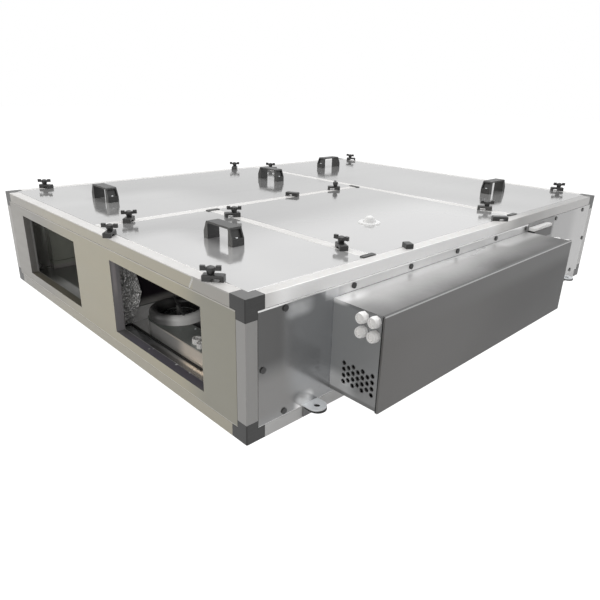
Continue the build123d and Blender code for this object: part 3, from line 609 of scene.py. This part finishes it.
def cover_sheet():
    """Darker sheet of the cover."""
    return zinc_sheet(
        "cover_sheet", grey(0.152, 0.02), grey(0.125, 0.03), stretch=(1, 0.4, 1.0), metallic=0.30,
        roughness=0.32, cloud=1.2, streak=4.0, crystals=0.05, zones=cover_zones, specular=0.20)


def gland_nylon():
    """Off-white nylon of glands, bushings and the connector."""
    return moulded("gland_nylon", grey(0.97, 0.005), grey(0.78), 0.25, 0.35)


def plate_sheet():
    """Dark sheet behind the wiring connector."""
    return zinc_sheet(
        "plate_sheet", grey(0.24), grey(0.17), metallic=0.35, roughness=0.3,
        cloud=8.0, streak=20.0, crystals=0.05)


# Hanging lugs and rubber
lug_zones = [
    # Painted shade on the upright plates of the lugs, on the rail
    zone((0.666, 0.6745), whole_length, (0.0, 0.0305), (0.002, 0.001, 0.0005), grey(0.17, 0.01), 0.95),
]


def lug_zinc():
    """Pale zinc plating of lugs and screws."""
    return zinc_sheet(
        "lug_zinc", grey(0.97, -0.03), grey(0.90, -0.03), metallic=0.06, roughness=0.34,
        cloud=20.0, streak=60.0, crystals=0.1, zones=lug_zones)


def pad_rubber():
    """Dull black rubber."""
    return moulded("pad_rubber", grey(0.025), grey(0.08), 0.6, 0.7)


# Inside of the unit
inner_zones = [
    # Fan's walls: painted shade at the left but for the very end, painted warm light of the room at the right
    zone((0.02, 0.24), (-0.77, -0.60), (0.0, 0.0728), (0.05, 0.004, 0.001), grey(0.40), 0.95),
    zone((0.02, 0.11), (-0.77, -0.60), (0.0, 0.0728), (0.02, 0.004, 0.001), grey(0.85), 0.90),
    zone((0.320, 0.50), (-0.77, -0.76), (0.0, 0.08), (0.05, 0.004, 0.01), tint(1.0, 0.92, 0.83), 0.97),
    # Deck: painted light on its front edge, dull greenish top, painted lighter at the right
    zone((0.30, 0.50), (-0.7665, -0.757), (0.071, 0.0756), (0.14, 0.001, 0.001), tint(0.85, 0.78, 0.70), 0.9),
    zone((0.0, 0.50), (-0.7645, -0.55), deck, (0.05, 0.002, 0.001), tint(0.18, 0.20, 0.19), 0.9),
    zone((0.28, 0.50), (-0.7645, -0.66), deck, (0.07, 0.002, 0.001), tint(0.34, 0.36, 0.35), 0.9),
    # Partition behind the foil and the exchanger's end, in the shade under the lid
    zone((0.018, 0.022), (-0.76, -0.32), (0.105, 0.29), (0.002, 0.03, 0.03), tint(0.032, 0.026, 0.034), 1.0),
    zone((0.0, 0.64), (-0.33, -0.30), (0.13, 0.29), (0.01, 0.01, 0.06), tint(0.018, 0.015, 0.020), 1.0),
    # Liner of the left chamber, greenish
    zone((-0.66, -0.60), (-0.75, -0.32), (0.05, 0.29), (0.004, 0.01, 0.01), tint(0.42, 0.44, 0.39), 0.95),
]
ring_zones = [
    # Painted shade on the left part, painted highlight on the crest at the right
    zone((0.05, 0.176), (-0.80, -0.60), ring_height, (0.026, 0.05, 0.02), grey(0.12), 0.95),
    zone((0.05, 0.16), (-0.655, -0.55), ring_height, (0.03, 0.03, 0.02), grey(0.04), 0.95),
    zone((0.05, 0.24), (-0.80, -0.752), ring_height, (0.01, 0.020, 0.02), grey(0.15), 0.9),
    zone((0.205, 0.26), (-0.722, -0.660), (0.078, 0.12), (0.018, 0.020, 0.010), grey(1.0), 1.0),
]


def inner_sheet():
    """Sheet of partitions, scrolls and exchanger, in the shade."""
    return zinc_sheet(
        "inner_sheet", grey(0.56, 0.02), grey(0.36, 0.02), stretch=(1, 1, 2.0), metallic=0.20, roughness=0.36,
        cloud=6.0, streak=16.0, crystals=0.12, zones=inner_zones, specular=0.2)


def creased_foil():
    """Aluminium foil with a lively glitter."""
    return zinc_sheet(
        "creased_foil", grey(0.92, 0.01), grey(0.52, 0.0), metallic=0.40, roughness=0.34,
        cloud=90.0, streak=300.0, crystals=0.35)


def spun_ring():
    """Spun sheet of the inlet ring, dull on the crest that faces the opening, where a highlight is painted.
    """
    return zinc_sheet(
        "spun_ring", grey(0.60), grey(0.44), metallic=0.35, roughness=0.30, cloud=8.0, streak=30.0,
        crystals=0.05, zones=ring_zones, specular=0.2,
        polish=shine((0.190, 0.26), (-0.80, -0.55), ring_height, (0.030, 0.02, 0.01), -0.35))


def motor_coat():
    """Dark coat of the motor, its post and its bar."""
    return moulded("motor_coat", grey(0.16), grey(0.24), 0.4, 0.45, metallic=0.3)


def blade_metal():
    """Zinc sheet of the impeller."""
    return zinc_sheet(
        "blade_metal", grey(0.28), grey(0.18), metallic=0.3, roughness=0.40,
        cloud=20.0, streak=60.0, crystals=0.1)


# Finish of each of the record's slots
finishes = {
    "aluminium_profile": satin_aluminium(),
    "black_plastic": black_nylon(),
    "panel_front": front_sheet(),
    "panel_side": side_sheet(),
    "panel_top": top_sheet(),
    "port_plastic": port_plastic(),
    "box_sheet": box_sheet(),
    "cover_sheet": cover_sheet(),
    "white_plastic": gland_nylon(),
    "zinc_steel": lug_zinc(),
    "rubber_pad": pad_rubber(),
    "inner_sheet": inner_sheet(),
    "foil": creased_foil(),
    "bright_ring": spun_ring(),
    "motor_metal": motor_coat(),
    "impeller_metal": blade_metal(),
}


def dress_cad_nodes():
    """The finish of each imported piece, by its slot in the record."""
    for part in frame["record"]["subparts"]:
        thing = frame["nodes"][part["node"]]
        if not thing.data.materials:
            thing.data.materials.append(None)
        for slot in thing.material_slots:
            slot.material = finishes[part["material_slot"]]


# Making of the pieces that the scene adds
merge_distance = 0.000005


def piece_from(bm, name, slot, finish=None, body="casing"):
    """Turns the finished bmesh into an object that rides on a body."""
    bmesh.ops.remove_doubles(bm, verts=bm.verts, dist=merge_distance)
    bmesh.ops.recalc_face_normals(bm, faces=bm.faces)
    mesh = bpy.data.meshes.new(name)
    bm.to_mesh(mesh)
    bm.free()
    thing = bpy.data.objects.new(name, mesh)
    bpy.context.scene.collection.objects.link(thing)
    mesh.materials.append(finish or finishes[slot])
    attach(thing, body)
    return thing


def add_block(bm, low, high):
    """Box between two corners."""
    low, high = Vector(low), Vector(high)
    size = Matrix.Diagonal((*(high - low), 1.0))
    bmesh.ops.create_cube(bm, size=1.0, matrix=Matrix.Translation((low + high) / 2) @ size)


def add_disc(bm, place, direction, radius, height, sides=20, top_share=1.0):
    """Short round or tapered cylinder standing on place along direction."""
    turn = Vector((0, 0, 1)).rotation_difference(Vector(direction)).to_matrix().to_4x4()
    seat = Matrix.Translation(place) @ turn @ Matrix.Translation((0, 0, height / 2))
    return bmesh.ops.create_cone(
        bm, cap_ends=True, segments=sides, radius1=radius, radius2=radius * top_share, depth=height,
        matrix=seat,
    )["verts"]


# Screws
screw_radius = 0.0032
screw_height = 0.0018
screw_sides = 16
screw_top_share = 0.72
screw_rim_share = 0.3
screw_sink_share = 0.4


def add_screw(bm, place, direction, scale=1.0):
    """Pan head screw with a sunk middle, standing on place along direction."""
    place, direction = Vector(place), Vector(direction)
    radius, height = screw_radius * scale, screw_height * scale
    made = add_disc(bm, place, direction, radius, height, screw_sides, screw_top_share)
    faces = {face for vert in made for face in vert.link_faces}
    top = max(faces, key=lambda face: (face.calc_center_median() - place).dot(direction))
    bmesh.ops.inset_individual(bm, faces=[top], thickness=radius * screw_rim_share)
    bmesh.ops.translate(bm, verts=top.verts, vec=-direction * height * screw_sink_share)


handle_nodes = [f"lift_handle_{number}" for number in range(1, 6)]
handle_screw_inset = 0.008
handle_screw_height = 0.019
handle_screw_scale = 1.3


def make_handle_screws():
    """A screw in the pocket of each leg of the lift handles."""
    bm = bmesh.new()
    for node in handle_nodes:
        low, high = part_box(node)
        middle = (low + high) / 2
        long_axis = 0 if high.x - low.x > high.y - low.y else 1
        for side, end in ((-1, low), (1, high)):
            place = middle.copy()
            place[long_axis] = end[long_axis] - side * handle_screw_inset
            place.z = low.z + handle_screw_height
            add_screw(bm, place, (0, 0, 1), handle_screw_scale)
    piece_from(bm, "handle_screws", "zinc_steel")


deck_screw_places = ((0.262, -0.700), (0.300, -0.700))
deck_top_z = 0.0751
deck_screw_scale = 0.8


def make_deck_screws():
    """Small screws on each fan's deck."""
    bm = bmesh.new()
    for x, y in deck_screw_places:
        for sign in (1, -1):
            add_screw(bm, (x * sign, y * sign, deck_top_z), (0, 0, 1), deck_screw_scale)
    piece_from(bm, "deck_screws", "zinc_steel")


# Crinkled foil on the partition beside the fan: free edge as (height, distance along the wall, stand-off)
foil_near_y = -0.8243
foil_wall_x = 0.0210
foil_gap = 0.0006
foil_low_z = 0.0306
foil_high_z = 0.2790
foil_edge = [
    (0.030, 0.066, 0.003), (0.060, 0.074, 0.006), (0.090, 0.084, 0.012), (0.120, 0.094, 0.012),
    (0.150, 0.092, 0.006), (0.190, 0.084, 0.002), (0.220, 0.077, 0.002), (0.290, 0.073, 0.002),
]
foil_columns = 46
foil_rows = 110
foil_sheet = 0.0005
crease_scale = 70.0
fine_crease_scale = 230.0
fine_crease_shift = Vector((3.1, 7.7, 1.9))
crease_slice = 0.3
crease_height = 0.0030
ragged_slice = 5.0
ragged_shift = 0.0016


def between(table, z, column):
    """Value of a column of the table at height z, straight between its rows."""
    for (z1, *first), (z2, *second) in zip(table, table[1:]):
        if z <= z2:
            share = max(0.0, (z - z1) / (z2 - z1))
            return first[column] * (1 - share) + second[column] * share
    return table[-1][1 + column]


def crease(place):
    """Height of a sharp crumple, 1 on its ridges and below 0 in between."""
    coarse = noise.noise(place * crease_scale)
    fine = noise.noise(place * fine_crease_scale + fine_crease_shift)
    return 0.5 * (1 - 2 * abs(coarse)) + 0.5 * (1 - 2 * abs(fine))


def foil_point(column, row):
    """Place of a point of the foil: crumpled, ragged at its edges and curling off the wall."""
    z = foil_low_z + (foil_high_z - foil_low_z) * row / foil_rows
    along = column / foil_columns
    reach = between(foil_edge, z, 0)
    curl = between(foil_edge, z, 1) * along**3
    bulge = crease_height * max(crease(Vector((along * reach, z, crease_slice))), 0.0)
    ragged_place = Vector((along * reach * crease_scale, z * crease_scale, ragged_slice))
    shift = noise.noise(ragged_place) * ragged_shift
    y = foil_near_y + along * reach + (shift if column > 0 else 0.0)
    return foil_wall_x + foil_gap + bulge + curl, y, z + (shift if 0 < row < foil_rows else 0.0)


def make_foil(name, node, turn):
    """Crumpled foil that lines the partition, its free edge bulging and curling off the wall."""
    bm = bmesh.new()
    bmesh.ops.create_grid(bm, x_segments=foil_columns, y_segments=foil_rows, size=0.5)
    cell = {}
    for vert in bm.verts:
        cell[vert] = (round((vert.co.x + 0.5) * foil_columns), round((vert.co.y + 0.5) * foil_rows))
        vert.co = foil_point(*cell[vert])
    for face in bm.faces[:]:
        corners = sorted(face.verts, key=lambda vert: (cell[vert][1], cell[vert][0]))
        ends = (0, 3) if sum(cell[corners[0]]) % 2 else (1, 2)
        bmesh.utils.face_split(face, corners[ends[0]], corners[ends[1]])
    bm.normal_update()
    bmesh.ops.solidify(bm, geom=bm.faces[:], thickness=foil_sheet)
    bmesh.ops.rotate(bm, verts=bm.verts, cent=(0, 0, 0), matrix=Matrix.Rotation(turn, 3, "Z"))
    thing = piece_from(bm, name, "foil")
    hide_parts(node)


# Empty chambers beside the fans
liner_blocks = [
    ((-0.6446, -0.745, 0.0604), (-0.606, -0.3235, 0.2880)),
    ((-0.6446, -0.745, 0.0304), (-0.608, -0.3235, 0.0580)),
]
plug_place = (-0.6448, -0.787, 0.043)
plug_radius = 0.010
plug_height = 0.006
plug_top_share = 0.8


def half_turned(low, high):
    """The same block in the other end chamber, half a turn round the unit's middle."""
    return (-high[0], -high[1], low[2]), (-low[0], -low[1], high[2])


def make_chamber_liners():
    """Insulation liner on the outer wall of each empty chamber, with the slit near its foot."""
    front, back = bmesh.new(), bmesh.new()
    for low, high in liner_blocks:
        add_block(front, low, high)
        add_block(back, *half_turned(low, high))
    piece_from(front, "chamber_liner_front", "inner_sheet")
    piece_from(back, "chamber_liner_back", "inner_sheet")


def make_drain_plugs():
    """Round plug low on the outer wall of each empty chamber, just inside the opening."""
    bm = bmesh.new()
    x, y, z = plug_place
    for sign in (1, -1):
        place = (x * sign, y * sign, z)
        add_disc(bm, place, (sign, 0, 0), plug_radius, plug_height, top_share=plug_top_share)
    piece_from(bm, "drain_plugs", "white_plastic")


# Vent holes in the control box's front end
vent_rim_radii = (0.0044, 0.0057)
vent_rim_height = 0.0004
vent_crest_share = 1.3
vent_rim_sides = 16
vent_front_y = -0.6102
vent_pitch = 0.0153
vent_columns = 7
vent_rows = (4, 3)
vent_centre = (0.750, 0.101)


def vent_rim_profile(x, z):
    """Cut through the rim of the hole at x and z, closed along the sheet."""
    inner, outer = vent_rim_radii
    crest = ((inner + outer) / 2, vent_rim_height * vent_crest_share)
    profile = [(inner, 0), (inner, vent_rim_height), crest, (outer, 0)]
    return [(x + radius, vent_front_y - height, z) for radius, height in profile]


def make_vent_rims():
    """Raised rim round each vent hole of the control box."""
    bm = bmesh.new()
    for column in range(vent_columns):
        holes = vent_rows[column % 2]
        x = vent_centre[0] + (column - (vent_columns - 1) / 2) * vent_pitch * math.sqrt(3) / 2
        for hole in range(holes):
            z = vent_centre[1] + (hole - (holes - 1) / 2) * vent_pitch
            verts = [bm.verts.new(point) for point in vent_rim_profile(x, z)]
            edges = [bm.edges.new(pair) for pair in zip(verts, verts[1:] + verts[:1])]
            bmesh.ops.spin(
                bm, geom=verts + edges, cent=(x, vent_front_y, z), axis=(0, 1, 0), angle=math.tau,
                steps=vent_rim_sides, use_merge=True,
            )
    piece_from(bm, "vent_rims", "black_plastic")


# Plate and cap round the wiring connector
right_panel_x = 0.6702
plate_thickness = 0.0010
plate_y = (0.302, 0.500)
plate_z = (0.200, 0.2895)
cap_place = (right_panel_x, 0.284, 0.278)
cap_radius = 0.0070
cap_height = 0.0025
cap_sides = 24
cap_top_share = 0.9


def make_connector_plate():
    """Dark plate on the side panel behind the wiring connector."""
    bm = bmesh.new()
    add_block(bm, *zip((right_panel_x, right_panel_x + plate_thickness), plate_y, plate_z))
    piece_from(bm, "connector_plate", "box_sheet", plate_sheet())


def make_connector_cap():
    """Screw cap on the right panel, just before the wiring connector."""
    bm = bmesh.new()
    add_disc(bm, cap_place, (1, 0, 0), cap_radius, cap_height, cap_sides, cap_top_share)
    piece_from(bm, "connector_cap", "black_plastic")


# Floor, surround and lamps
floor_half_size = 14.0
floor_glow = 1.5
floor_glow_share = 0.72


def seen_rays(tree):
    """1 for rays from the camera, a gloss or a clear surface."""
    path = add_node(tree, "ShaderNodeLightPath")
    seen = math_node(tree, "MAXIMUM", path.outputs["Is Camera Ray"], path.outputs["Is Glossy Ray"])
    return math_node(tree, "MAXIMUM", seen, path.outputs["Is Transmission Ray"])


def pale_floor():
    """Matt grey paint that shines pale where the camera or a gloss sees it."""
    material = bpy.data.materials.new("pale_floor")
    material.use_nodes = True
    tree = material.node_tree
    tree.nodes.clear()
    paint = add_node(tree, "ShaderNodeBsdfDiffuse", {"Color": grey(0.45)})
    glow = add_node(tree, "ShaderNodeEmission", {"Color": grey(1.0), "Strength": floor_glow})
    share = math_node(tree, "MULTIPLY", seen_rays(tree), floor_glow_share)
    blend = add_node(tree, "ShaderNodeMixShader", {0: share, 1: paint.outputs[0], 2: glow.outputs[0]})
    surface = add_node(tree, "ShaderNodeOutputMaterial")
    tree.links.new(blend.outputs[0], surface.inputs[0])
    return material


def make_stage():
    """Pale floor; it stays outside the part."""
    bm = bmesh.new()
    bmesh.ops.create_grid(bm, x_segments=1, y_segments=1, size=floor_half_size)
    mesh = bpy.data.meshes.new("studio_floor")
    bm.to_mesh(mesh)
    bm.free()
    floor = bpy.data.objects.new("studio_floor", mesh)
    bpy.context.scene.collection.objects.link(floor)
    mesh.materials.append(pale_floor())


def light_world():
    """Soft grey surround as light, plain white where the camera or a gloss sees it."""
    world = bpy.data.worlds.new("studio_world")
    bpy.context.scene.world = world
    world.use_nodes = True
    tree = world.node_tree
    tree.nodes.clear()
    light = add_node(tree, "ShaderNodeBackground", {"Color": grey(0.32, 0.01), "Strength": 1.0})
    white = add_node(tree, "ShaderNodeBackground", {"Color": grey(1.0), "Strength": 1.0})
    blend = add_node(
        tree, "ShaderNodeMixShader", {0: seen_rays(tree), 1: light.outputs[0], 2: white.outputs[0]})
    surface = add_node(tree, "ShaderNodeOutputWorld")
    tree.links.new(blend.outputs[0], surface.inputs[0])


def add_lamp(name, place, target, size, power, colour=(1, 1, 1)):
    """Area lamp of a size, aimed at a target."""
    data = bpy.data.lights.new(name, "AREA")
    data.shape = "RECTANGLE"
    data.size, data.size_y = size
    data.energy = power
    data.color = colour
    lamp = bpy.data.objects.new(name, data)
    lamp.location = place
    lamp.rotation_euler = (Vector(target) - Vector(place)).to_track_quat("-Z", "Y").to_euler()
    bpy.context.scene.collection.objects.link(lamp)


def light_studio():
    """Large lamp overhead, two at the front end and one at the far side."""
    add_lamp("overhead_softbox", place=(0.0, 0.2, 2.8), target=(0, 0, 0), size=(3.2, 3.2), power=78.0)
    add_lamp(
        "front_softbox", place=(-2.4, -2.6, 1.3), target=(-0.5, -0.8, 0.15), size=(1.6, 1.4), power=20.0,
        colour=(1.0, 0.97, 0.90))
    add_lamp(
        "low_front_softbox", place=(1.9, -2.9, 0.70), target=(0.2, -0.85, 0.14), size=(1.6, 0.8), power=14.0,
        colour=(1.0, 0.98, 0.94))
    add_lamp("far_side_softbox", place=(2.6, 2.4, 1.2), target=(0.7, 0.7, 0.15), size=(1.4, 1.2), power=10.0)


aim_camera()
light_world()
light_studio()
make_stage()
dress_cad_nodes()
make_handle_screws()
make_foil("foil_front", "foil_lining_front", 0.0)
make_foil("foil_back", "foil_lining_back", math.pi)
make_chamber_liners()
make_drain_plugs()
make_vent_rims()
make_connector_plate()
make_connector_cap()
make_deck_screws()

bpy.context.scene.view_settings.view_transform = "Standard"
